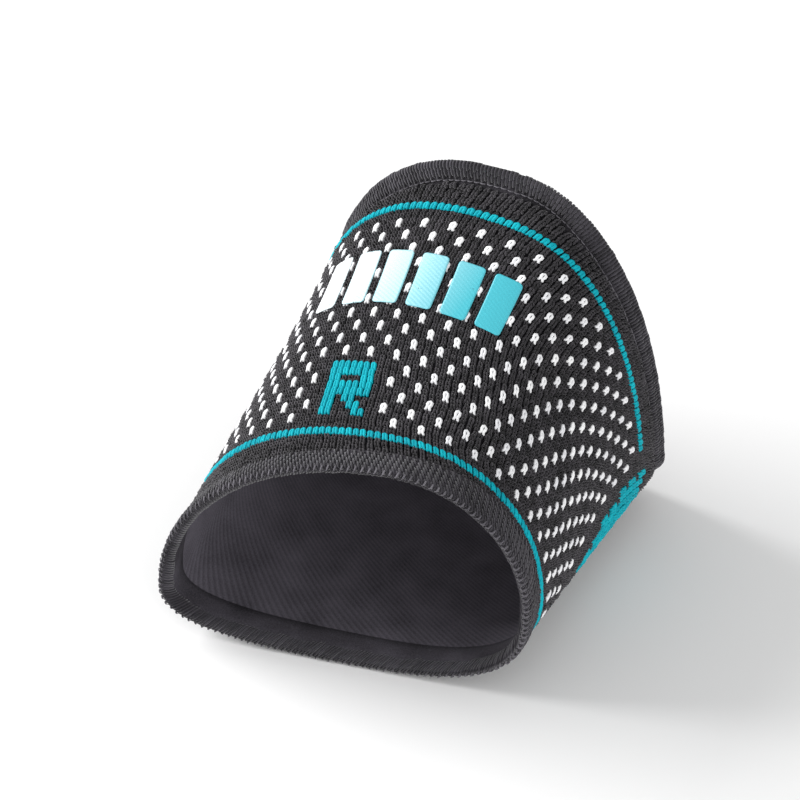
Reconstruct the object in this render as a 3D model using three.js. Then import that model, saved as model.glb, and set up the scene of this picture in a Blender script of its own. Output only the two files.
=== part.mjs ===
// Arch support sleeve for a right foot: an open knitted tube round the midfoot,
// with a rolled overlocked edge at each end and a row of heat-transferred bars on the instep.
// Millimetres. +Z up, -Y towards the toes, +X towards the arch (inner) side of the foot.
// The origin is the foot seat: the inside of the sole, under the arch.
import * as THREE from 'three';

// Driving dimensions of the worn sleeve
const SLEEVE_WIDTH = 84; // across the foot at the arch, outside
const INSTEP_HEIGHT = 64; // sole to instep at the arch, outside
const SLEEVE_LENGTH = 87; // of its cloth along the foot, with the edges not yet drawn in
const KNIT_WALL = 1.8; // two-yarn elastic knit
const TOE_EDGE_END = 9.5; // inner end of the overlocked edge, measured along the cloth
const ANKLE_EDGE_END = 4.6;
const TOE_EDGE_START = 1.7; // how far its sewing draws the rim in
const ANKLE_EDGE_START = 0.4;
const EDGE_THICKNESS = 3; // the cloth rolled over on itself
const TOE_EDGE_RISE = 1.1; // how far an edge stands proud of the knit by its rim
const ANKLE_EDGE_RISE = 0;
const SEAM_CLEARANCE = 0.3; // between the knit and an edge, or a bar and the knit

// Row of slanted bars on the instep
const BAR_COUNT = 6;
const BAR_WIDTH = 6.6; // round the foot
const BAR_PITCH = 9;
const BAR_HEIGHT = 13; // along the foot
const BAR_SLANT = 4; // sideways lean from the toe end of a bar to its ankle end
const FILM_THICKNESS = 0.4;
const ROW_TURN = 0.355; // middle of the row, as a share of the way round from the inner side
const ROW_REACH = 0.63; // middle of the row, as a share of the way from the toe rim

// How finely the cloth is faceted
const AROUND = 64;
const ALONG = 16;
const BAR_STEPS = { across: 3, up: 5 };
const RIM_STEPS = 5; // steps taken in from a rim to find a line along the cloth

// The sleeve's section at three places. Widths are shares of SLEEVE_WIDTH, heights shares of
// INSTEP_HEIGHT, and along is a share of SLEEVE_LENGTH. inner and outer are the reaches to the
// two sides, innerBelly and outerBelly the heights where it is widest, and crown the sideways
// place of its top. crownRound and keelRound are 2 for an ellipse and more for squarer
// shoulders. lean tips the section forwards and turn swings it, in degrees.
const SECTIONS = {
  toeRim: {
    along: -0.52, lift: -0.02, lean: 0, turn: -12.5,
    inner: 0.47, outer: 0.505, height: 0.91, innerBelly: 0.385, outerBelly: 0.205,
    crown: 0.105, crownRound: 2, keelRound: 2.8,
  },
  arch: {
    along: 0, lift: 0, lean: -0.5, turn: 2,
    inner: 0.465, outer: 0.53, height: 0.995, innerBelly: 0.26, outerBelly: 0.275,
    crown: 0.085, crownRound: 2.25, keelRound: 2.5,
  },
  ankleRim: {
    along: 0.48, lift: -0.035, lean: -9, turn: -0.5,
    inner: 0.47, outer: 0.52, height: 1.47, innerBelly: 0.22, outerBelly: 0.38,
    crown: 0.065, crownRound: 2.3, keelRound: 2.3,
  },
};

// Cross-section of a rolled edge, which curls under at the rim and thins towards the knit:
// reach is a share of the way from its start to its end, and depth a share of its thickness
// from its top.
const EDGE_PROFILE = [
  { reach: 0.27, depth: 0.9 },
  { reach: 0.12, depth: 0.68 },
  { reach: 0.03, depth: 0.42 },
  { reach: 0, depth: 0.18 },
  { reach: 0.09, depth: 0.02 },
  { reach: 0.22, depth: 0 },
  { reach: 0.5, depth: 0.1 },
  { reach: 0.76, depth: 0.28 },
  { reach: 1, depth: 0.36 },
  { reach: 1, depth: 0.92 },
  { reach: 0.5, depth: 1 },
];

// One value of the section table at reach u, on the parabola through its three rows
function sectionValue(key, u) {
  const { toeRim, arch, ankleRim } = SECTIONS;
  return toeRim[key] * (1 - u) * (1 - 2 * u)
    + arch[key] * 4 * u * (1 - u)
    + ankleRim[key] * u * (2 * u - 1);
}

// The closed outer line of the sleeve at reach u (0 at the toe rim, 1 at the ankle rim),
// from the inner side over the instep to the outer side and back under the sole
class SleeveSection extends THREE.Curve {
  constructor(u) {
    super();
    this.arcLengthDivisions = 360;
    this.row = {};
    for (const key of Object.keys(SECTIONS.arch)) this.row[key] = sectionValue(key, u);
  }

  getPoint(share, target = new THREE.Vector3()) {
    const row = this.row;
    const angle = share * 2 * Math.PI;
    const overInstep = Math.sin(angle) >= 0;
    const towardsArch = Math.cos(angle) >= 0;
    const roundness = 2 / (overInstep ? row.crownRound : row.keelRound);
    const side = Math.abs(Math.cos(angle)) ** roundness;
    const rise = Math.abs(Math.sin(angle)) ** roundness;
    const middle = overInstep ? row.crown : 0;
    const belly = towardsArch ? row.innerBelly : row.outerBelly;
    const x = SLEEVE_WIDTH
      * (towardsArch ? middle + (row.inner - middle) * side : middle - (row.outer + middle) * side);
    const z = INSTEP_HEIGHT * (overInstep ? belly + (row.height - belly) * rise : belly * (1 - rise));
    const lean = THREE.MathUtils.degToRad(row.lean);
    const turn = THREE.MathUtils.degToRad(row.turn);
    return target.set(
      x * Math.cos(turn),
      SLEEVE_LENGTH * row.along - x * Math.sin(turn) + z * Math.sin(lean),
      INSTEP_HEIGHT * row.lift + z * Math.cos(lean) - KNIT_WALL,
    );
  }
}

const sections = new Map();
function sectionAt(u) {
  if (!sections.has(u)) sections.set(u, new SleeveSection(u));
  return sections.get(u);
}

// The cloth's outer face at reach u and turn t, with its outward normal and how many
// millimetres of cloth there are to a unit of u, square to the rim
function clothAt(u, t) {
  const turn = THREE.MathUtils.euclideanModulo(t, 1);
  const step = 0.004;
  const point = sectionAt(u).getPointAt(turn);
  const round = sectionAt(u).getTangentAt(turn);
  const along = sectionAt(u + step).getPointAt(turn)
    .sub(sectionAt(u - step).getPointAt(turn)).divideScalar(2 * step);
  const normal = along.clone().cross(round).normalize();
  const square = along.addScaledVector(round, -along.dot(round)).length();
  return { point, normal, square };
}

function below(u, t, depth) {
  const { point, normal } = clothAt(u, t);
  return point.addScaledVector(normal, -depth);
}

// Reach of the line that lies a distance along the cloth from a rim
function reachFromRim(rim, distance, t) {
  const inwards = rim === 0 ? 1 : -1;
  let reach = rim;
  for (let i = 0; i < RIM_STEPS; i += 1) {
    reach += inwards * distance / RIM_STEPS / clothAt(reach, t).square;
  }
  return reach;
}

// A closed mesh from triangles that index a list of points
function solidFrom(points, triangles) {
  const geometry = new THREE.BufferGeometry().setFromPoints(points);
  geometry.setIndex(triangles);
  geometry.computeVertexNormals();
  return geometry;
}

// A ring round the foot: the closed line profileAt(t) swept once round
function ringSolid(profileAt) {
  const points = [];
  for (let i = 0; i < AROUND; i += 1) points.push(...profileAt(i / AROUND));
  const size = points.length / AROUND;
  const triangles = [];
  for (let i = 0; i < AROUND; i += 1) {
    for (let j = 0; j < size; j += 1) {
      const a = i * size + j;
      const b = i * size + ((j + 1) % size);
      const c = ((i + 1) % AROUND) * size + j;
      const d = ((i + 1) % AROUND) * size + ((j + 1) % size);
      triangles.push(a, b, d, a, d, c);
    }
  }
  return solidFrom(points, triangles);
}

// The knitted tube between the two edges
function knitSleeve() {
  return ringSolid((t) => {
    const start = reachFromRim(0, TOE_EDGE_END + SEAM_CLEARANCE, t);
    const end = reachFromRim(1, ANKLE_EDGE_END + SEAM_CLEARANCE, t);
    const profile = [];
    for (let i = 0; i <= ALONG; i += 1) {
      profile.push(below(THREE.MathUtils.lerp(start, end, i / ALONG), t, 0));
    }
    for (let i = ALONG; i >= 0; i -= 1) {
      profile.push(below(THREE.MathUtils.lerp(start, end, i / ALONG), t, KNIT_WALL));
    }
    return profile;
  });
}

// A rolled edge at a rim
function rolledEdge(rim, start, end, rise) {
  const profile = rim === 0 ? EDGE_PROFILE : [...EDGE_PROFILE].reverse();
  return ringSolid((t) => profile.map(({ reach, depth }) => {
    const distance = THREE.MathUtils.lerp(start, end, reach);
    return below(reachFromRim(rim, distance, t), t, depth * EDGE_THICKNESS - rise);
  }));
}

// One bar of transfer film, which follows the knit a clearance above it
function filmBar(index) {
  const middle = (index - (BAR_COUNT - 1) / 2) * BAR_PITCH;
  const { across, up } = BAR_STEPS;
  const girth = sectionAt(ROW_REACH).getLength();
  const points = [];
  for (const depth of [-SEAM_CLEARANCE - FILM_THICKNESS, -SEAM_CLEARANCE]) {
    for (let j = 0; j <= up; j += 1) {
      const high = j / up - 0.5;
      for (let i = 0; i <= across; i += 1) {
        const side = middle + (i / across - 0.5) * BAR_WIDTH + high * BAR_SLANT;
        const t = ROW_TURN + side / girth;
        points.push(below(ROW_REACH + high * BAR_HEIGHT / clothAt(ROW_REACH, t).square, t, depth));
      }
    }
  }
  const row = across + 1;
  const under = row * (up + 1);
  const triangles = [];
  const quad = (a, b, c, d) => triangles.push(a, b, c, a, c, d);
  for (let j = 0; j < up; j += 1) {
    for (let i = 0; i < across; i += 1) {
      const a = j * row + i;
      quad(a, a + row, a + row + 1, a + 1);
      quad(under + a, under + a + 1, under + a + row + 1, under + a + row);
    }
  }
  for (let i = 0; i < across; i += 1) {
    const far = up * row + i;
    quad(i, i + 1, under + i + 1, under + i);
    quad(far + 1, far, under + far, under + far + 1);
  }
  for (let j = 0; j < up; j += 1) {
    const near = j * row;
    const far = near + across;
    quad(near + row, near, under + near, under + near + row);
    quad(far, far + row, under + far + row, under + far);
  }
  return solidFrom(points, triangles);
}

const sleeve = new THREE.Group();

function addPiece(name, geometry, color, roughness) {
  const mesh = new THREE.Mesh(geometry, new THREE.MeshStandardMaterial({ color, roughness, metalness: 0 }));
  mesh.name = name;
  sleeve.add(mesh);
}

addPiece('knit_sleeve', knitSleeve(), 0x35333a, 0.9);
addPiece('toe_edge', rolledEdge(0, TOE_EDGE_START, TOE_EDGE_END, TOE_EDGE_RISE), 0x2c2a30, 0.92);
addPiece('ankle_edge', rolledEdge(1, ANKLE_EDGE_START, ANKLE_EDGE_END, ANKLE_EDGE_RISE), 0x2c2a30, 0.92);
for (let i = 0; i < BAR_COUNT; i += 1) {
  const fade = i / (BAR_COUNT - 1);
  const film = new THREE.Color(0x4fc4d2).lerp(new THREE.Color(0xf7f9fa), fade);
  addPiece(`film_bar_${i + 1}`, filmBar(i), film, 0.35);
}

export default sleeve;
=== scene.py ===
"""Arch support sleeve for a right foot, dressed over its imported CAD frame.

Measures are millimetres unless a name says otherwise; Blender gets metres. +Z is up, -Y is
towards the toes and +X towards the arch side of the foot. The knit is laid out by wale
(a column of stitches, counted from the middle of the instep towards the arch side) and by
course (a round of stitches, counted towards the toes).
"""
import math

import bpy
import numpy as np
from mathutils import Matrix, Vector


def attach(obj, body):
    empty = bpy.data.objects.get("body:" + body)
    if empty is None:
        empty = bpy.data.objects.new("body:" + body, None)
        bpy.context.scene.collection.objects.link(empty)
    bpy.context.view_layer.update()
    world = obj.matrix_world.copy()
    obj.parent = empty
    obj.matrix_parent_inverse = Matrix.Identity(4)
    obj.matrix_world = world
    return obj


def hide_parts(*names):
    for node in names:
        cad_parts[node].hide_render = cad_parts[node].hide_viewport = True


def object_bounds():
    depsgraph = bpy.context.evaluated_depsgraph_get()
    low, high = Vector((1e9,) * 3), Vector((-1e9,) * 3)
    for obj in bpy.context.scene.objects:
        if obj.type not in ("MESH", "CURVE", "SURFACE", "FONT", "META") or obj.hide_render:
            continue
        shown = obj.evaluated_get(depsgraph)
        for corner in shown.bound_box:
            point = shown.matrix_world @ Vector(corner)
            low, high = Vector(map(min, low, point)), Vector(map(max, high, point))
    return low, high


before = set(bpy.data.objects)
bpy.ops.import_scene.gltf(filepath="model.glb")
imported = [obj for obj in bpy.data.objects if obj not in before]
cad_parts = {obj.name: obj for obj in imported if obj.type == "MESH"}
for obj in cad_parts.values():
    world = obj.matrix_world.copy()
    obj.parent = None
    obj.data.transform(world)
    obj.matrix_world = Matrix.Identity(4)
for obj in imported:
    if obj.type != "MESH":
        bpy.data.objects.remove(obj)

cad_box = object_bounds()

MM = 0.001

# The worn sleeve, with the same named values as the CAD source
SLEEVE_WIDTH = 84
INSTEP_HEIGHT = 64
SLEEVE_LENGTH = 87
KNIT_WALL = 1.8
SECTIONS = {
    "along": (-0.52, 0, 0.48),
    "lift": (-0.02, 0, -0.035),
    "lean": (0, -0.5, -9),
    "turn": (-12.5, 2, -0.5),
    "inner": (0.47, 0.465, 0.47),
    "outer": (0.505, 0.53, 0.52),
    "height": (0.91, 0.995, 1.47),
    "inner_belly": (0.385, 0.26, 0.22),
    "outer_belly": (0.205, 0.275, 0.38),
    "crown": (0.105, 0.085, 0.065),
    "crown_round": (2, 2.25, 2.3),
    "keel_round": (2.8, 2.5, 2.3),
}

# The knit: 148 wales of about 1.65 mm round the foot, courses of about 0.87 mm
WALES = 148
COURSES = 102.6  # from rim to rim
TOE_RIM_COURSE = 33.8  # the course that lies at the toe rim
WALE_PITCH = 1.65
COURSE_PITCH = 0.87

# Where wale 0 runs, and how the wales crowd and spread where the foot stretches the cloth,
# at the toe rim, midway and at the ankle rim, as shares of the way round
WALE_RUN = {
    "start": (0.186, 0.299, 0.316),
    "sway": (0.008, -0.011, 0.004),
    "swing": (0.036, 0.005, 0.039),
    "fine_sway": (0.024, 0.006, 0.007),
    "fine_swing": (-0.016, -0.001, -0.017),
}
# How the foot pulls the stitches aside in wales, and on towards the toes in courses, at some
# courses along it: by the outer side, on the instep and by the arch
PULLED = (
    (-60, (0, 0, 0), (0, 0, 0)),
    (-40, (-0.2, -0.2, -0.2), (0, -0.4, 0.2)),
    (-22, (0.2, -0.6, -0.3), (0.2, -0.4, -0.5)),
    (-8, (-0.2, 0.1, 0.3), (0.2, -0.1, -0.9)),
    (3, (0.3, 0, 0), (0.6, 0.3, -0.4)),
    (12, (0.6, -1.6, -0.7), (1.1, 1.1, 0.1)),
    (17, (0.6, -1.6, -0.7), (0.4, 0.4, 0.3)),
    (34, (0.6, -1.6, -0.7), (0.4, 0.4, 0.3)),
)
# The wales that each of the three moves takes hold of, and how fully
PULL_AREAS = (
    ((-70, -17, 10), (0, 1, 0)),
    ((-17, 10, 28, 38), (0, 1, 1, 0)),
    ((28, 38, 70), (0, 1, 0)),
)

# Stitches knitted in another colour: the courses where the stripes lie, how tall each kind of
# stitch is in courses, and the wales and courses between which it is knitted
TOE_STRIPE = 17.5
ANKLE_STRIPE = -53.5
STRIPE_COURSES = 2.4
STRIPE_ENDS = {TOE_STRIPE: (-40, 44), ANKLE_STRIPE: (-40, 42)}
DOT_COURSES = 3.1
DOT_EVERY = (2, 8)  # wales and courses from dot to dot
DOT_SLANT = 2  # courses that the dots move by from wale to wale
DOT_WALES = (-38, 42)
DOT_ROWS = (-48, 12)
MARK_WALE = -13  # where the mark's chart starts
MARK_COURSE = -3.7
MARK_STEP = 2  # courses to a row of the chart
MARK_CHART = (
    "#######",
    "#######",
    "##...##",
    "#######",
    "#######",
    "##.##..",
    "##..##.",
    "##...##",
)
MARK_CLEAR = ((-15, -5), (-6, 15))  # the wales and courses round it that have no dots
BAND_START = -55  # the course of the sole band's tip by the ankle
BAND_ROUNDS = 22
BAND_STEP = 2.1  # courses to a round of the band
BAND_WALE = 45
BAND_LEAN = 3  # how far its toe end lies further under the foot, in wales
BAND_TEETH = (0, 0, 1)  # how far its edge steps back, round by round, in wales
BAND_WIDTH = 5
FILLED_LAP = 0.35  # how much longer a stitch of the mark or band is than its step, in courses
CLEARED_LAP = 0.4  # how much more than its step the plain knit leaves free for it
UNDER_LAP = 0.1  # how far a plain stitch's middle may lie under a coloured stitch's end

# The edges, with the same named values and cross-section as the CAD source: each is a roll of
# cloth sewn over with thread. reach is a share of the way from its start to its end, and depth
# a share of its thickness from its top. The section starts at the knit on the inside, and goes
# round the rim and back on the outside. Steps count its corners from 0 to 10, with parts of a
# step between them.
RIM = {"toe": 0, "ankle": 1}
EDGE_START = {"toe": 1.7, "ankle": 0.4}  # how far the sewing draws the rim in, along the cloth
EDGE_END = {"toe": 9.5, "ankle": 4.6}
EDGE_RISE = {"toe": 1.1, "ankle": 0}
EDGE_THICKNESS = 3
EDGE_PROFILE = (
    (1, 0.92), (0.5, 1), (0.27, 0.9), (0.12, 0.68), (0.03, 0.42), (0, 0.18), (0.09, 0.02),
    (0.22, 0), (0.5, 0.1), (0.76, 0.28), (1, 0.36),
)
EDGE_FACE = 5  # the corner where its outer face starts, counted along the section
EDGE_STITCHES = {"toe": 148, "ankle": 160}  # pairs of threads round each edge
EDGE_PAIR = (-0.42, 0.4)  # where the two threads of a pair lie, from their middle
ROLL_INSET = 0.1  # how far the rolled cloth lies inside the edge's section, under the thread
SWELL_END = 1.3  # where the knit lies flat again, as a share of the way to the edge's end
KNIT_END = {"toe": 8.9, "ankle": 5.2}  # where the knit's last stitches lie, from the rim
RIB_STITCHES = 3  # along a rib of the toe edge
TOE_RIBS = (8.9, 1.8)  # where the ribs start and stop, from the rim
RIB_LEAN = 0.33  # how the ribs follow the wales by the toes, in turns to a unit of reach

# The backing behind the stitches: courses left between it and the rims, the lift of its outer
# face, and how deep its inner face lies inside the wall and its purl heads stand out from it
BACKING_ENDS = {"toe": 5, "ankle": 4}
BACKING_LIFT = -0.95
BACKING_DEPTH = 0.5
PURL_RELIEF = 0.3

# Row of slanted bars on the instep, with the same named values as the CAD source
BAR_COUNT = 6
BAR_WIDTH = 6.6
BAR_PITCH = 9
BAR_HEIGHT = 13
BAR_SLANT = 4
ROW_TURN = 0.355
ROW_REACH = 0.63
FILM_LIFTS = (0.56, 0.3)  # of its top and its underside
FILM_SINK = 0.05  # how far it follows the stitches
FILM_ROUNDING = 0.08  # how far its top falls off at the rim
FILM_RIM = 0.1  # how much of half a bar that rounding takes up
FILM_CORNER = (0.14, 0.24)  # length and width of a round corner, as shares of half a bar

# Where the photograph was taken from: degrees, millimetres and the roll of the camera
CAMERA_AZIMUTH = 25.13
CAMERA_ELEVATION = 42.21
CAMERA_ROLL = 1.99
CAMERA_DISTANCE = 1218.9
CAMERA_LENS = 243.3
CAMERA_TARGET = (0.0, 0.0, 28.2)
CAMERA_AIM = (-8.25, 9.6)

FLOOR_SIZE = 3.0  # metres from its middle to each side
FLOOR_DROP = 0.45  # below the CAD form, as the thread under the edges reaches a little below it

chance = np.random.default_rng(7)


def along_three(values, share):
    """The parabola through three values, read at shares of the way from first to last."""
    first, middle, last = values
    return (first * (1 - share) * (1 - 2 * share) + middle * 4 * share * (1 - share)
            + last * share * (2 * share - 1))


def section_points(reach, angle):
    """Points of the outer face at a reach from toe rim (0) to ankle rim (1)."""
    row = {name: along_three(values, reach) for name, values in SECTIONS.items()}
    over_instep = np.sin(angle) >= 0
    towards_arch = np.cos(angle) >= 0
    roundness = 2 / np.where(over_instep, row["crown_round"], row["keel_round"])
    side = np.abs(np.cos(angle)) ** roundness
    rise = np.abs(np.sin(angle)) ** roundness
    middle = np.where(over_instep, row["crown"], 0)
    belly = np.where(towards_arch, row["inner_belly"], row["outer_belly"])
    x = SLEEVE_WIDTH * np.where(towards_arch, middle + (row["inner"] - middle) * side,
                                middle - (row["outer"] + middle) * side)
    z = INSTEP_HEIGHT * np.where(over_instep, belly + (row["height"] - belly) * rise,
                                 belly * (1 - rise))
    lean, turn = np.radians(row["lean"]), np.radians(row["turn"])
    return np.stack([
        x * np.cos(turn),
        SLEEVE_LENGTH * row["along"] - x * np.sin(turn) + z * np.sin(lean),
        INSTEP_HEIGHT * row["lift"] + z * np.cos(lean) - KNIT_WALL,
    ], -1)


class Cloth:
    """The outer face of the sleeve as a fine grid, evenly spaced round the foot."""

    REACHES = 260
    TURNS = 1400
    OVERRUN = 0.03
    FINE_STEPS = 4000
    CROWDING = 0.24  # closer steps near the crown, keel and sides, where the corners lie

    def __init__(self):
        self.reaches = np.linspace(-self.OVERRUN, 1 + self.OVERRUN, self.REACHES + 1)
        step = np.linspace(0, 2 * np.pi, self.FINE_STEPS + 1)
        angle = step - self.CROWDING * np.sin(4 * step)
        turns = np.linspace(0, 1, self.TURNS + 1)
        rows = []
        self.girths = []
        for reach in self.reaches:
            ring = section_points(reach, angle)
            run = np.concatenate([[0], np.cumsum(np.linalg.norm(np.diff(ring, axis=0), axis=1))])
            self.girths.append(run[-1])
            rows.append(np.stack([np.interp(turns * run[-1], run, ring[:, i]) for i in range(3)], -1))
        points = np.array(rows)
        along = np.gradient(points, axis=0)
        round_foot = np.gradient(points, axis=1)
        round_foot[:, 0] = round_foot[:, -1] = (points[:, 1] - points[:, -2]) / 2
        normals = np.cross(along, round_foot)
        normals /= np.linalg.norm(normals, axis=-1, keepdims=True)
        self.grid = np.concatenate([points, normals], -1)
        speed = along / (self.reaches[1] - self.reaches[0])
        pace = np.linalg.norm(round_foot, axis=-1, keepdims=True)
        drift = (speed * round_foot / pace).sum(-1, keepdims=True)
        self.square = np.linalg.norm(speed - round_foot / pace * drift, axis=-1)
        self.slip = -(drift / pace)[..., 0] / self.TURNS

    def _read(self, grid, reach, turn):
        """A grid's value at any reach and turn, between its four nearest points."""
        row = np.clip((reach - self.reaches[0]) / (self.reaches[-1] - self.reaches[0]), 0, 0.999999)
        row = row * self.REACHES
        column = np.mod(turn, 1) * self.TURNS
        i, j = row.astype(int), np.minimum(column.astype(int), self.TURNS - 1)
        a, b = row - i, column - j
        if grid.ndim == 3:
            a, b = a[..., None], b[..., None]
        return ((grid[i, j] * (1 - b) + grid[i, j + 1] * b) * (1 - a)
                + (grid[i + 1, j] * (1 - b) + grid[i + 1, j + 1] * b) * a)

    def point(self, reach, turn, lift):
        """Points a lift above the outer face."""
        reach, turn, lift = np.broadcast_arrays(*(np.asarray(v, float) for v in (reach, turn, lift)))
        both = self._read(self.grid, reach, turn)
        return both[..., :3] + both[..., 3:] * lift[..., None]

    def girth(self, reach):
        return float(np.interp(reach, self.reaches, self.girths))

    def square_at(self, reach, turn):
        """Millimetres of cloth to a unit of reach, square to the rim."""
        return self._read(self.square, reach, turn)

    def from_rim(self, rim, distance, turn, steps=8):
        """The reach and turn that lie a distance along the cloth from a rim, square to it."""
        distance, turn = (v.astype(float) for v in np.broadcast_arrays(distance, turn))
        inwards = 1 if rim == 0 else -1
        reach = np.full(distance.shape, float(rim))
        for _ in range(steps):
            move = inwards * distance / steps / self.square_at(reach, turn)
            turn = turn + move * self._read(self.slip, reach, turn)
            reach = reach + move
        return reach, turn


cloth = Cloth()


def course_reach(course):
    return (TOE_RIM_COURSE - course) / COURSES


def wale_turn(reach, wale):
    """Where a wale lies round the foot."""
    run = {name: along_three(values, reach) for name, values in WALE_RUN.items()}
    bend = 2 * np.pi * wale / WALES
    return (run["start"] - wale / WALES - run["sway"] * np.sin(bend)
            - run["swing"] * (1 - np.cos(bend)) - run["fine_sway"] * np.sin(2 * bend)
            - run["fine_swing"] * (1 - np.cos(2 * bend)))


def pulled(wale, course):
    """Where a stitch lies once the foot pulls it aside and on."""
    turned = np.mod(wale + WALES / 2, WALES) - WALES / 2
    shares = [np.interp(turned, wales, hold) for wales, hold in PULL_AREAS]
    at, *moves = zip(*PULLED)
    aside, on = (sum(share * np.interp(course, at, column)
                     for share, column in zip(shares, zip(*move)))
                 for move in moves)
    return wale + aside, course + on


def rim_distance(end, reach, turn):
    """Millimetres of cloth between a rim and points of the outer face."""
    away = np.abs(reach - RIM[end])
    return away * cloth.square_at((reach + RIM[end]) / 2, turn)


def edge_swell(distance):
    """How far the rolled toe edge lifts the knit that is sewn on to it."""
    start, end = EDGE_START["toe"], EDGE_END["toe"]
    reach, depth = np.transpose(EDGE_PROFILE[EDGE_FACE:])
    lifts = [*(EDGE_RISE["toe"] - EDGE_THICKNESS * depth), 0]
    distances = [*(start + reach * (end - start)), SWELL_END * end]
    return np.interp(distance, distances, lifts)


def knit_point(wale, course, lift):
    """Points of the knit by wale, course and lift above the outer face."""
    wale, course, lift = np.broadcast_arrays(wale, course, lift)
    wale, course = pulled(wale, course)
    reach = course_reach(course)
    turn = wale_turn(reach, wale)
    return cloth.point(reach, turn, lift + edge_swell(rim_distance("toe", reach, turn)))


def strand(path, half_widths, half_depths, angles, aside=None):
    """A strand of yarn closed to a tip at both ends, as points and faces.

    The path runs through (across, along, lift) points; the half widths and depths belong to
    the points between the tips, and the angles go round its section. aside is the way its
    width lies, where the path itself doesn't say.
    """
    path = np.array(path, float)
    heading = path[2:] - path[:-2]
    heading /= np.linalg.norm(heading, axis=1, keepdims=True)
    if aside is None:
        aside = np.stack([heading[:, 1], -heading[:, 0], np.zeros(len(heading))], 1)
        aside /= np.linalg.norm(aside, axis=1, keepdims=True)
    else:
        aside = np.tile(np.array(aside, float), (len(heading), 1))
    upright = np.cross(aside, heading)
    rings = []
    for i, middle in enumerate(path[1:-1]):
        for angle in np.radians(angles):
            rings.append(middle + aside[i] * half_widths[i] * math.cos(angle)
                         + upright[i] * half_depths[i] * math.sin(angle))
    points = np.array([path[0], *rings, path[-1]])
    sides, count = len(angles), len(path) - 2
    last = len(points) - 1
    faces = []
    for k in range(sides):
        after = (k + 1) % sides
        faces.append((0, 1 + after, 1 + k))
        faces.append((last, last - sides + k, last - sides + after))
        for i in range(count - 1):
            near, far = 1 + i * sides, 1 + (i + 1) * sides
            faces.append((near + k, near + after, far + after, far + k))
    return points, faces


def several(*forms):
    """Forms joined into one."""
    points, faces, size = [], [], 0
    for form_points, form_faces in forms:
        points.append(form_points)
        faces += [tuple(i + size for i in face) for face in form_faces]
        size += len(form_points)
    return np.concatenate(points), faces


def add_piece(name, points, faces, material, shade, replaces=()):
    """A mesh piece that rides on the sleeve: points in millimetres, faces in blocks with the
    same number of corners, and the share of the light colour that each point's yarn has."""
    mesh = bpy.data.meshes.new(name)
    points = np.asarray(points, float).reshape(-1, 3) * MM
    sizes = np.concatenate([np.full(len(block), block.shape[1]) for block in faces])
    corners = np.concatenate([block.ravel() for block in faces])
    mesh.vertices.add(len(points))
    mesh.vertices.foreach_set("co", points.ravel())
    mesh.loops.add(len(corners))
    mesh.loops.foreach_set("vertex_index", corners.astype(np.int32))
    mesh.polygons.add(len(sizes))
    starts = np.concatenate([[0], np.cumsum(sizes)[:-1]])
    mesh.polygons.foreach_set("loop_start", starts.astype(np.int32))
    mesh.update(calc_edges=True)
    mesh.validate()
    mesh.shade_smooth()
    kept = mesh.attributes.new("shade", "FLOAT", "POINT")
    kept.data.foreach_set("value", np.asarray(shade, np.float32).ravel())
    mesh.materials.append(material)
    piece = bpy.data.objects.new(name, mesh)
    bpy.context.scene.collection.objects.link(piece)
    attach(piece, "root")
    if replaces:
        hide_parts(*replaces)
    return piece


def repeat(form, count):
    """Faces of a form repeated over copies that follow each other, by number of corners."""
    points, faces = form
    step = np.arange(count)[:, None, None] * len(points)
    blocks = []
    for corners in sorted({len(face) for face in faces}):
        block = np.array([face for face in faces if len(face) == corners])
        blocks.append((block[None] + step).reshape(-1, corners))
    return blocks


def uneven(wobble, shape, limit):
    """Random shifts about nought, none past a few times their usual size."""
    return chance.normal(0, wobble, shape).clip(-limit * wobble, limit * wobble)


def knit_in(name, form, wales, courses, material, slot, wobble):
    """One copy of a stitch form at each wale and course, joined as one piece.

    wobble is how much the stitches differ in size, place and lean.
    """
    points, _ = form
    count = len(wales)
    size, shift = 1 + uneven(wobble, (2, count, 1, 3), limit=2.2)
    lean = uneven(wobble, (count, 1), limit=2.2)
    shift_share = (0.8, 1, 1.4)  # of a wale, of a course and of a millimetre of lift
    spread = points[None] * size + (shift - 1) * shift_share
    at = knit_point(np.asarray(wales)[:, None] + spread[..., 0] + lean * points[:, 1],
                    np.asarray(courses)[:, None] + spread[..., 1], spread[..., 2])
    # Wales count against the turn, which mirrors the form, so its faces are turned over
    faces = [block[:, ::-1] for block in repeat(form, count)]
    shade = np.repeat(chance.random(count), len(points))
    return add_piece(name, at, faces, material, shade)


FLAT_SECTION = (205, 125, 55, -25)
ROUND_SECTION = (210, 150, 90, 30, -30, -90)


def plain_stitch():
    """The two legs of a plain stitch, closing towards the ankle; in wales, courses and mm.

    Each leg is a plump strand that leans inwards and dives under the next course at both ends.
    """
    half_widths, half_depths = (0.23, 0.31, 0.22), (0.3, 0.4, 0.3)
    legs = []
    for side in (-1, 1):
        path = np.array([(side * 0.31, 0.7, -1.0), (side * 0.28, 0.4, -0.36), (side * 0.2, 0, 0.04),
                         (side * 0.13, -0.38, -0.3), (side * 0.08, -0.66, -1.0)])
        points, faces = strand(path * (WALE_PITCH, COURSE_PITCH, 1), half_widths, half_depths,
                               FLAT_SECTION)
        legs.append((points / (WALE_PITCH, COURSE_PITCH, 1), faces))
    return several(*legs)


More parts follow.
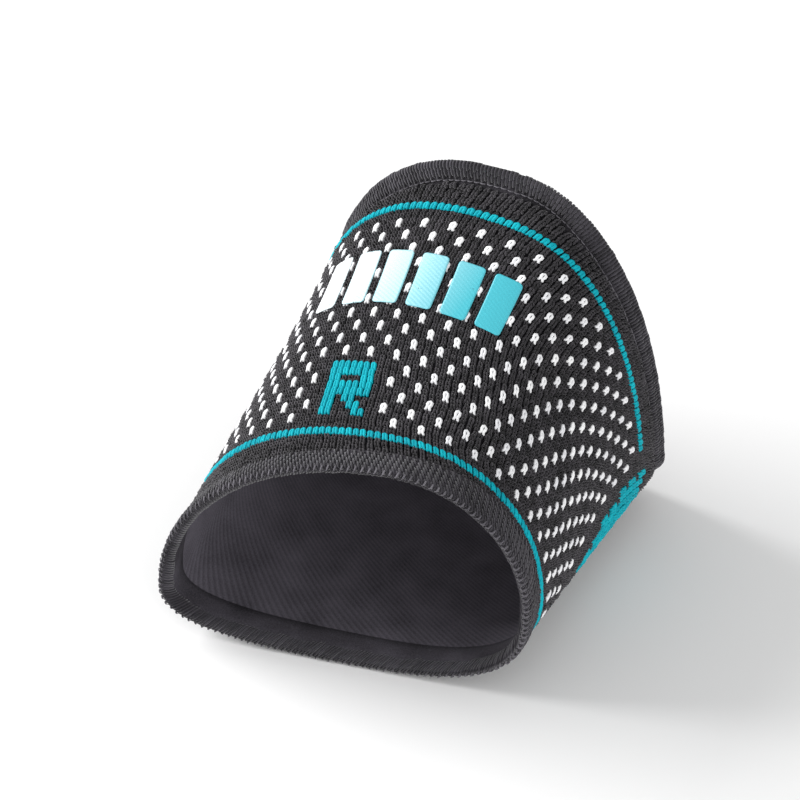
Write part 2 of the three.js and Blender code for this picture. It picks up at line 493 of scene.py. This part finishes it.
def loop_form(height, waist, belly, feet, plump):
    """The long loop of a coloured stitch as a round strand, in wales, courses and mm.

    Its head lies towards the ankle and its feet towards the toes; waist, belly and feet are
    how far from its middle the legs lie there, in wales, and plump how full its yarn is.
    """
    half = height / 2
    left = [(-feet, half, -0.7), (-feet * 0.92, half * 0.8, -0.1), (-waist, half * 0.38, 0.04),
            (-belly, -half * 0.1, 0.06), (-belly * 0.95, -half * 0.5, 0.02)]
    right = [(-across, along, lift) for across, along, lift in reversed(left)]
    path = np.array([*left, (0, -half * 0.78, -0.04), *right])
    radii = plump * np.array((0.31, 0.35, 0.36, 0.36, 0.34, 0.36, 0.36, 0.35, 0.31))
    points, faces = strand(path * (WALE_PITCH, COURSE_PITCH, 1), radii, radii, ROUND_SECTION)
    return points / (WALE_PITCH, COURSE_PITCH, 1), faces


def dot_places():
    wales, courses = [], []
    every_wale, every_course = DOT_EVERY
    for wale in range(DOT_WALES[0], DOT_WALES[1] + 1, every_wale):
        for course in range(DOT_ROWS[0], DOT_ROWS[1] + 1):
            if (course + DOT_SLANT * wale) % every_course:
                continue
            (low, high), (top, bottom) = MARK_CLEAR
            if low <= wale <= high and top <= course <= bottom:
                continue
            wales.append(wale)
            courses.append(course)
    return np.array(wales), np.array(courses)


def mark_places():
    wales, courses = [], []
    for row, line in enumerate(MARK_CHART):
        for column, cell in enumerate(line):
            if cell == "#":
                wales.append(MARK_WALE + column)
                courses.append(MARK_COURSE + MARK_STEP * row)
    return np.array(wales), np.array(courses)


def band_places():
    wales, courses = [], []
    for row in range(BAND_ROUNDS):
        first = BAND_WALE + BAND_TEETH[row % len(BAND_TEETH)] + BAND_LEAN * row // BAND_ROUNDS
        width = min(BAND_WIDTH, 1 + row, BAND_ROUNDS - row)
        for wale in range(first, first + width):
            wales.append(wale)
            courses.append(BAND_START + BAND_STEP * row)
    return np.array(wales), np.array(courses)


def stripe_places(course):
    wales = np.arange(*STRIPE_ENDS[course])
    return wales, np.full(len(wales), course)


def linear(hex_colour):
    """An sRGB hex colour as linear values."""
    parts = [int(hex_colour[i:i + 2], 16) / 255 for i in (1, 3, 5)]
    return tuple(p / 12.92 if p <= 0.04045 else ((p + 0.055) / 1.055) ** 2.4 for p in parts) + (1.0,)


def add_node(tree, kind, inputs=None, **settings):
    """A shader node with its own settings, and its inputs set or linked."""
    made = tree.nodes.new("ShaderNode" + kind)
    for name, value in settings.items():
        setattr(made, name, value)
    for name, value in (inputs or {}).items():
        if isinstance(value, bpy.types.NodeSocket):
            tree.links.new(value, made.inputs[name])
        else:
            made.inputs[name].default_value = value
    return made


def new_material(name):
    material = bpy.data.materials.new(name)
    material.use_nodes = True
    material.node_tree.nodes.clear()
    return material, material.node_tree


def yarn(name, dark, light, roughness, sheen):
    """Textured filament yarn: fine crimped fibres that scatter the light, shaded from
    stitch to stitch as the yarn turns. Tufts of fibre are drawn at 0.3 mm, because the real
    0.02 mm fibres are too fine to show, and its tone drifts over 9 mm, about five wales."""
    material, tree = new_material(name)
    place = add_node(tree, "TexCoord").outputs["Object"]
    shade = add_node(tree, "Attribute", attribute_name="shade").outputs["Fac"]
    fibres = add_node(tree, "TexNoise", {"Vector": place, "Scale": 1 / (0.3 * MM), "Detail": 2.0})
    cloudy = add_node(tree, "TexNoise", {"Vector": place, "Scale": 1 / (9 * MM), "Detail": 1.0})
    mixed = add_node(tree, "Math", {0: shade, 1: fibres.outputs["Fac"]}, operation="ADD")
    mixed = add_node(tree, "Math", {0: mixed.outputs[0], 1: cloudy.outputs["Fac"]}, operation="ADD")
    share = add_node(tree, "MapRange", {"Value": mixed.outputs[0], "From Min": 0.7, "From Max": 2.3})
    colour = add_node(tree, "Mix", {"Factor": share.outputs[0], "A": linear(dark), "B": linear(light)},
                      data_type="RGBA")
    bump = add_node(tree, "Bump", {"Height": fibres.outputs["Fac"], "Strength": 0.35,
                                   "Distance": 0.08 * MM})
    shader = add_node(tree, "BsdfPrincipled", {
        "Base Color": colour.outputs["Result"], "Roughness": roughness, "Sheen Weight": sheen,
        "Sheen Roughness": 0.5, "IOR": 1.53, "Specular IOR Level": 0.2,
        "Normal": bump.outputs["Normal"]})
    add_node(tree, "OutputMaterial", {"Surface": shader.outputs[0]})
    return material


def knit_masks():
    """The plain stitches' places: every wale and course that no coloured stitch covers."""
    courses = np.arange(math.ceil(TOE_RIM_COURSE - COURSES), math.floor(TOE_RIM_COURSE) + 1)
    covered = np.zeros((WALES, len(courses)), bool)
    reach = np.broadcast_to(course_reach(courses), covered.shape)
    turn = wale_turn(reach, np.arange(WALES)[:, None])
    for end, distance in KNIT_END.items():
        covered |= rim_distance(end, reach, turn) < distance

    def cover(places, height):
        for wale, course in zip(*places):
            covered[int(wale) % WALES, np.abs(courses - course) < height / 2 - UNDER_LAP] = True

    cover(stripe_places(TOE_STRIPE), STRIPE_COURSES)
    cover(stripe_places(ANKLE_STRIPE), STRIPE_COURSES)
    cover(dot_places(), DOT_COURSES)
    cover(mark_places(), MARK_STEP + CLEARED_LAP)
    cover(band_places(), BAND_STEP + CLEARED_LAP)
    wales, rows = np.nonzero(~covered)
    return wales, courses[rows]


def plain_knit(material):
    """The plain stitches in four panels, each a quarter of the way round."""
    wales, courses = knit_masks()
    panel = np.mod(wales + WALES // 8, WALES) // (WALES // 4)
    form = plain_stitch()
    pieces = []
    for i, name in enumerate(("knit_instep", "knit_inner_side", "knit_sole", "knit_outer_side")):
        here = panel == i
        pieces.append(knit_in(name, form, wales[here], courses[here], material, "charcoal_yarn",
                              wobble=0.07))
    return pieces


def coloured_knit(white, teal):
    """The white dots, and the teal stripes, mark and sole band."""
    dot = loop_form(DOT_COURSES, 0.15, 0.26, 0.33, 1.08)
    long_loop = loop_form(STRIPE_COURSES, 0.17, 0.21, 0.29, 1.15)
    filled = loop_form(MARK_STEP + FILLED_LAP, 0.19, 0.21, 0.3, 1.12)
    pieces = [knit_in("dots", dot, *dot_places(), white, "white_yarn", wobble=0.03)]
    for name, form, places in (("toe_stripe", long_loop, stripe_places(TOE_STRIPE)),
                               ("ankle_stripe", long_loop, stripe_places(ANKLE_STRIPE)),
                               ("side_mark", filled, mark_places()),
                               ("sole_band", filled, band_places())):
        pieces.append(knit_in(name, form, *places, teal, "teal_yarn", wobble=0.03))
    return pieces


def ring(name, points, material, slot, shade, replaces):
    """A closed ring round the foot, from the closed line of points at each step round it."""
    around, size = points.shape[:2]
    i, j = np.meshgrid(np.arange(around), np.arange(size), indexing="ij")
    after_i, after_j = (i + 1) % around, (j + 1) % size
    quads = np.stack([i * size + j, i * size + after_j,
                      after_i * size + after_j, after_i * size + j], -1)
    return add_piece(name, points, [quads.reshape(-1, 4)], material, shade, replaces)


def knit_backing(material):
    """The cloth behind the stitches. Its outer face, seen only in the gaps between the stitches,
    is painted near black as painted shade. Its inner face is the purl side, a brick pattern of
    stitch heads, which catches the light more than the gaps between the stitches: it is painted
    lighter as painted light on the shaded inside, with a painted highlight on the heads."""
    first = TOE_RIM_COURSE - COURSES + BACKING_ENDS["ankle"]
    last = TOE_RIM_COURSE - BACKING_ENDS["toe"]
    wales = -np.arange(0, WALES, 0.5)[:, None]
    outer = np.linspace(last, first, 24)
    inner = np.arange(first, last, 0.5)
    heads = (np.arange(len(wales))[:, None] + np.arange(len(inner))) % 2
    purl = -KNIT_WALL + BACKING_DEPTH - PURL_RELIEF * heads
    points = np.concatenate([knit_point(wales, outer, BACKING_LIFT),
                             knit_point(wales, inner, purl)], 1)
    # Painted shade: the outer face gets the near-black dark end of the colour, which darkens the gaps
    # between the stitches
    shade = np.zeros(points.shape[:2])
    # Painted light: the inner face gets a lighter colour, and the purl heads a painted highlight
    shade[:, len(outer):] = 0.6 + 0.4 * heads
    return ring("knit_backing", points, material, "charcoal_yarn", shade, replaces=("knit_sleeve",))


def edge_section(end, steps, proud):
    """Distance from the rim and lift at steps along an edge's section, proud of its face."""
    reach, depth = np.transpose(EDGE_PROFILE)
    distances = EDGE_START[end] + reach * (EDGE_END[end] - EDGE_START[end])
    lifts = EDGE_RISE[end] - EDGE_THICKNESS * depth

    def read(at):
        return np.stack([np.interp(at, np.arange(len(reach)), v) for v in (distances, lifts)], -1)

    either_way = 0.3
    run = read(steps + either_way) - read(steps - either_way)
    run /= np.linalg.norm(run, axis=-1, keepdims=True)
    return read(steps) + run[:, ::-1] * (-1, 1) * np.reshape(proud, (-1, 1))


def edge_thread(end, sides, steps, proud, half_width, half_depth):
    """A strand over an edge's section; sides are millimetres from the wale's middle."""
    section = edge_section(end, np.asarray(steps, float), np.asarray(proud, float))
    path = np.column_stack([np.broadcast_to(sides, len(steps)), section])
    thin = 0.85
    taper = np.array([thin, *np.ones(len(steps) - 4), thin])
    return strand(path, half_width * taper, half_depth * taper, FLAT_SECTION)


def edge_steps(end, distances):
    """The steps along an edge's outer face that lie at distances from its rim."""
    span = EDGE_END[end] - EDGE_START[end]
    corners = [EDGE_START[end] + reach * span for reach, _ in EDGE_PROFILE[EDGE_FACE:]]
    return np.interp(distances, corners, np.arange(EDGE_FACE, len(EDGE_PROFILE)))


def edge_point(end, stitch, distance, lift):
    """Points at a distance along the cloth from a rim. By the ankle the stitches lie square to
    the rim, and by the toes they follow the wales."""
    turn = -stitch / EDGE_STITCHES[end]
    reach, square_turn = cloth.from_rim(RIM[end], distance, turn)
    return cloth.point(reach, turn + RIB_LEAN * reach if end == "toe" else square_turn, lift)


def sew(name, form, end, material, wobble):
    """One copy of a form at each pair of threads round an edge; the form is in millimetres."""
    points, _ = form
    count = EDGE_STITCHES[end]
    spread = points[None] + uneven(wobble, (count, 1, 3), limit=2)
    stitches = np.arange(count)[:, None] + spread[..., 0] / WALE_PITCH
    at = edge_point(end, stitches, spread[..., 1], spread[..., 2])
    faces = repeat(form, count)
    if end == "ankle":
        # Distances from this rim run the other way along the cloth, which mirrors the form
        faces = [block[:, ::-1] for block in faces]
    shade = np.repeat(chance.uniform(0.2, 0.8, count), len(points))
    return add_piece(name, at, faces, material, shade)


def edge_roll(end, material):
    """The rolled cloth under an edge's thread."""
    stitches = -np.arange(0, EDGE_STITCHES[end], 0.5)[:, None]
    steps = np.arange(0, len(EDGE_PROFILE) - 1 + 0.01, 0.5)
    distance, lift = edge_section(end, steps, np.full(len(steps), -ROLL_INSET)).T
    if end == "ankle":
        distance, lift = distance[::-1], lift[::-1]
    points = edge_point(end, *np.broadcast_arrays(stitches, distance, lift))
    shade = np.full(points.shape[:2], 0.3)
    return ring(f"{end}_roll", points, material, "edge_yarn", shade, replaces=(f"{end}_edge",))


def toe_edge(material, under, looper):
    """The wide edge: broken ribs on its outer face, two to a wale, slanted wraps under its rim,
    and the looper thread's hooked stitch over its corner at each wale, lighter than the edge
    yarn as a painted highlight where the hooks catch the light."""
    start, stop = TOE_RIBS
    step = (start - stop) / RIB_STITCHES
    ribs = []
    for side, delay in zip(EDGE_PAIR, (0, 0.45)):
        for i in range(RIB_STITCHES):
            near = start - step * (i + delay)
            steps = edge_steps("toe", near - step * np.array((-0.12, 0.1, 0.5, 0.9, 1.12)))
            ribs.append(edge_thread("toe", side + np.array((0.04, 0.03, 0, -0.03, -0.04)), steps,
                                    (-0.3, 0.05, 0.12, 0.05, -0.3), 0.33, 0.28))
    wraps = [edge_thread("toe", side + np.array((0.5, 0.45, 0.3, 0.1, -0.1, -0.25, -0.35)),
                         (5.6, 5.2, 4.6, 3.9, 3.1, 2.1, 1.2),
                         (-0.4, -0.05, sag, sag, sag, 0, -0.4), width, 0.26)
             for side, sag, width in ((-0.45, 0.08, 0.34), (0.35, 0.0, 0.36))]
    hook = edge_thread("toe", (0.75, 0.6, 0.3, -0.05, -0.35, -0.5), (6.2, 5.9, 5.5, 5.1, 4.7, 4.4),
                       (-0.2, 0.28, 0.38, 0.38, 0.24, -0.2), 0.19, 0.18)
    return [edge_roll("toe", under),
            sew("toe_ribs", several(*ribs), "toe", material, wobble=0.05),
            sew("toe_wraps", several(*wraps), "toe", material, wobble=0.05),
            sew("toe_hooks", hook, "toe", looper, wobble=0.06)]


def ankle_edge(material, under, looper):
    """The narrow edge: plump wraps right round it, two to each pair of threads, in overlapping
    stitches, and the thin line of looper thread that draws it in, lighter than the edge yarn as
    a painted highlight where it catches the light."""
    wraps = []
    for side, delay in zip(EDGE_PAIR, (0, 0.5)):
        for first, last, count in ((10, 7.6, 6), (8.2, 3.3, 11), (3.8, 1, 6)):
            steps = np.linspace(first - delay, max(last - delay, 0.6), count)
            proud = np.full(count, 0.12)
            proud[[1, -2]] = 0.05
            proud[[0, -1]] = -0.35
            wraps.append(edge_thread("ankle", side, steps, proud, 0.37, 0.26))
    link = edge_thread("ankle", (-0.95, -0.5, 0, 0.5, 0.95), (9.85, 9.9, 9.95, 9.9, 9.85),
                       (0, 0.3, 0.36, 0.3, 0), 0.16, 0.16)
    return [edge_roll("ankle", under),
            sew("ankle_wraps", several(*wraps), "ankle", material, wobble=0.05),
            sew("ankle_links", link, "ankle", looper, wobble=0.04)]


def plate_faces(across, up):
    """Faces of a thin plate, from a grid of points for its top and one for its underside."""
    row, size = across + 1, (across + 1) * (up + 1)
    j, i = np.meshgrid(np.arange(up), np.arange(across), indexing="ij")
    a = (j * row + i).ravel()
    top = np.stack([a, a + row, a + row + 1, a + 1], 1)
    underside = np.stack([a, a + 1, a + row + 1, a + row], 1) + size
    rim = np.array([*range(row), *range(2 * row - 1, size, row),
                    *range(size - 2, size - row - 1, -1), *range(size - 2 * row, 0, -row)])
    after = np.roll(rim, -1)
    return [top, underside, np.stack([rim, after, after + size, rim + size], 1)]


def film_bars(material):
    """Bars of film pressed on to the knit, with round corners, sinking a little between stitches."""
    pieces = []
    across, up = 28, 54
    girth = cloth.girth(ROW_REACH)
    along = np.linspace(-1, 1, up + 1)
    aside = np.linspace(-1, 1, across + 1)
    corner_length, corner_width = FILM_CORNER
    past = np.clip((np.abs(along) - (1 - corner_length)) / corner_length, 0, 1)
    narrow = 1 - corner_width * (1 - np.sqrt(1 - past ** 2))
    high, side = np.meshgrid(along / 2, aside / 2, indexing="ij")
    side = side * narrow[:, None]
    for bar in range(BAR_COUNT):
        middle = (bar - (BAR_COUNT - 1) / 2) * BAR_PITCH
        place = middle + side * BAR_WIDTH + high * BAR_SLANT
        turn = ROW_TURN + place / girth
        reach = ROW_REACH + high * BAR_HEIGHT / cloth.square_at(np.full(turn.shape, ROW_REACH), turn)
        relief = FILM_SINK * np.cos(2 * np.pi * turn * WALES) * np.cos(2 * np.pi * reach * COURSES)
        edge = np.maximum(np.abs(along)[:, None], np.abs(aside)[None, :])
        rounded = FILM_ROUNDING * np.clip((edge - (1 - FILM_RIM)) / FILM_RIM, 0, 1) ** 2
        top = cloth.point(reach, turn, FILM_LIFTS[0] + relief - rounded)
        under = cloth.point(reach, turn, FILM_LIFTS[1] + relief)
        points = np.concatenate([top.reshape(-1, 3), under.reshape(-1, 3)])
        share = (place + BAR_PITCH * BAR_COUNT / 2) / (BAR_PITCH * BAR_COUNT)
        pieces.append(add_piece(f"film_print_{bar + 1}", points, plate_faces(across, up), material,
                                np.tile(share.ravel(), 2),
                                replaces=(f"film_bar_{bar + 1}",)))
    return pieces


def transfer_film():
    """Heat-transfer polyurethane film: a smooth satin skin that fades from white at the outer
    end of the row to teal at the inner end, rippled a little at 1.6 mm, the size of a wale."""
    material, tree = new_material("heat_transfer_film")
    place = add_node(tree, "TexCoord").outputs["Object"]
    share = add_node(tree, "Attribute", attribute_name="shade").outputs["Fac"]
    to_pale = add_node(tree, "MapRange", {"Value": share, "From Min": 0.95, "From Max": 0.62})
    to_teal = add_node(tree, "MapRange", {"Value": share, "From Min": 0.62, "From Max": 0.2})
    pale = add_node(tree, "Mix", {"Factor": to_pale.outputs[0], "A": linear("#eceff1"),
                                  "B": linear("#a9d8e1")}, data_type="RGBA")
    colour = add_node(tree, "Mix", {"Factor": to_teal.outputs[0], "A": pale.outputs["Result"],
                                    "B": linear("#45b9c8")}, data_type="RGBA")
    ripple = add_node(tree, "TexNoise", {"Vector": place, "Scale": 1 / (1.6 * MM), "Detail": 2.0})
    bump = add_node(tree, "Bump", {"Height": ripple.outputs["Fac"], "Strength": 0.2,
                                   "Distance": 0.1 * MM})
    shader = add_node(tree, "BsdfPrincipled", {
        "Base Color": colour.outputs["Result"], "Roughness": 0.35, "IOR": 1.5,
        "Normal": bump.outputs["Normal"]})
    add_node(tree, "OutputMaterial", {"Surface": shader.outputs[0]})
    return material


def camera():
    """The camera at the photograph's angle, aimed beside the sleeve's middle as its frame is."""
    data = bpy.data.cameras.new("camera")
    data.lens = CAMERA_LENS
    data.sensor_width = 36
    data.clip_start = 0.01
    cam = bpy.data.objects.new("camera", data)
    bpy.context.scene.collection.objects.link(cam)
    azimuth, elevation, roll = (math.radians(v) for v in (CAMERA_AZIMUTH, CAMERA_ELEVATION, CAMERA_ROLL))
    back = Vector((math.sin(azimuth) * math.cos(elevation), -math.cos(azimuth) * math.cos(elevation),
                   math.sin(elevation)))
    right = Vector((math.cos(azimuth), math.sin(azimuth), 0))
    up = back.cross(right)
    right, up = (math.cos(roll) * right + math.sin(roll) * up,
                 math.cos(roll) * up - math.sin(roll) * right)
    place = Vector(CAMERA_TARGET) + back * CAMERA_DISTANCE
    aim = Vector(CAMERA_TARGET) + right * CAMERA_AIM[0] + up * CAMERA_AIM[1]
    back = (place - aim).normalized()
    right = up.cross(back).normalized()
    up = back.cross(right)
    facing = Matrix((right, up, back)).transposed().to_4x4()
    cam.matrix_world = Matrix.Translation(place * MM) @ facing
    bpy.context.scene.camera = cam


def floor():
    """A plain pale floor, matt as studio paper."""
    size, low = FLOOR_SIZE, cad_box[0].z - FLOOR_DROP * MM
    mesh = bpy.data.meshes.new("floor")
    mesh.from_pydata([(-size, -size, low), (size, -size, low), (size, size, low), (-size, size, low)],
                     [], [(0, 1, 2, 3)])
    material, tree = new_material("studio_paper")
    shader = add_node(tree, "BsdfPrincipled", {"Base Color": linear("#fcfcfc"), "Roughness": 0.9})
    add_node(tree, "OutputMaterial", {"Surface": shader.outputs[0]})
    mesh.materials.append(material)
    plane = bpy.data.objects.new("floor", mesh)
    bpy.context.scene.collection.objects.link(plane)


def soft_light(name, place, size, watts):
    """A large square softbox facing the sleeve."""
    data = bpy.data.lights.new(name, "AREA")
    data.energy = watts
    data.size = size
    lamp = bpy.data.objects.new(name, data)
    bpy.context.scene.collection.objects.link(lamp)
    lamp.location = place
    lamp.rotation_mode = "QUATERNION"
    lamp.rotation_quaternion = (Vector(place) - Vector((0, 0, 0.03))).to_track_quat("Z", "Y")


def studio():
    world = bpy.data.worlds.new("studio")
    bpy.context.scene.world = world
    world.use_nodes = True
    tree = world.node_tree
    tree.nodes.clear()
    sky = add_node(tree, "Background", {"Color": linear("#ffffff"), "Strength": 0.54})
    add_node(tree, "OutputWorld", {"Surface": sky.outputs[0]})
    soft_light("key", (-0.95, -0.15, 0.5), 0.7, 15)
    soft_light("fill", (0.9, -0.5, 0.4), 0.8, 5)
    bpy.context.scene.view_settings.view_transform = "Standard"


camera()
charcoal = yarn("charcoal_polyamide_yarn", "#0e0d10", "#474449", 0.8, 0.3)
# The backing's near-black dark end is painted shade for the gaps between the stitches, and its light end
# is painted light for the shaded inside of the sleeve
backing = yarn("charcoal_elastic_backing_painted_shade_and_light", "#030304", "#65616a", 0.9, 0.0)
teal = yarn("teal_polyamide_yarn", "#009aaa", "#00b8c6", 0.7, 0.0)
white = yarn("white_polyamide_yarn", "#e6e6ea", "#ffffff", 0.7, 0.1)
edge_yarn = yarn("charcoal_overlock_yarn", "#17151a", "#4b484f", 0.85, 0.3)
# Painted highlight: the looper thread is lighter than the edge yarn, standing in for the glint where its
# hooks and links catch the light
looper_painted_highlight_thread = yarn("charcoal_looper_painted_highlight_thread", "#3c3940", "#77747b", 0.7, 0.2)
film = transfer_film()

sleeve_cloth = knit_backing(backing)
sewn_on = plain_knit(charcoal)
sewn_on += coloured_knit(white, teal)
sewn_on += toe_edge(edge_yarn, backing, looper_painted_highlight_thread)
sewn_on += ankle_edge(edge_yarn, backing, looper_painted_highlight_thread)
sewn_on += film_bars(film)

floor()
studio()
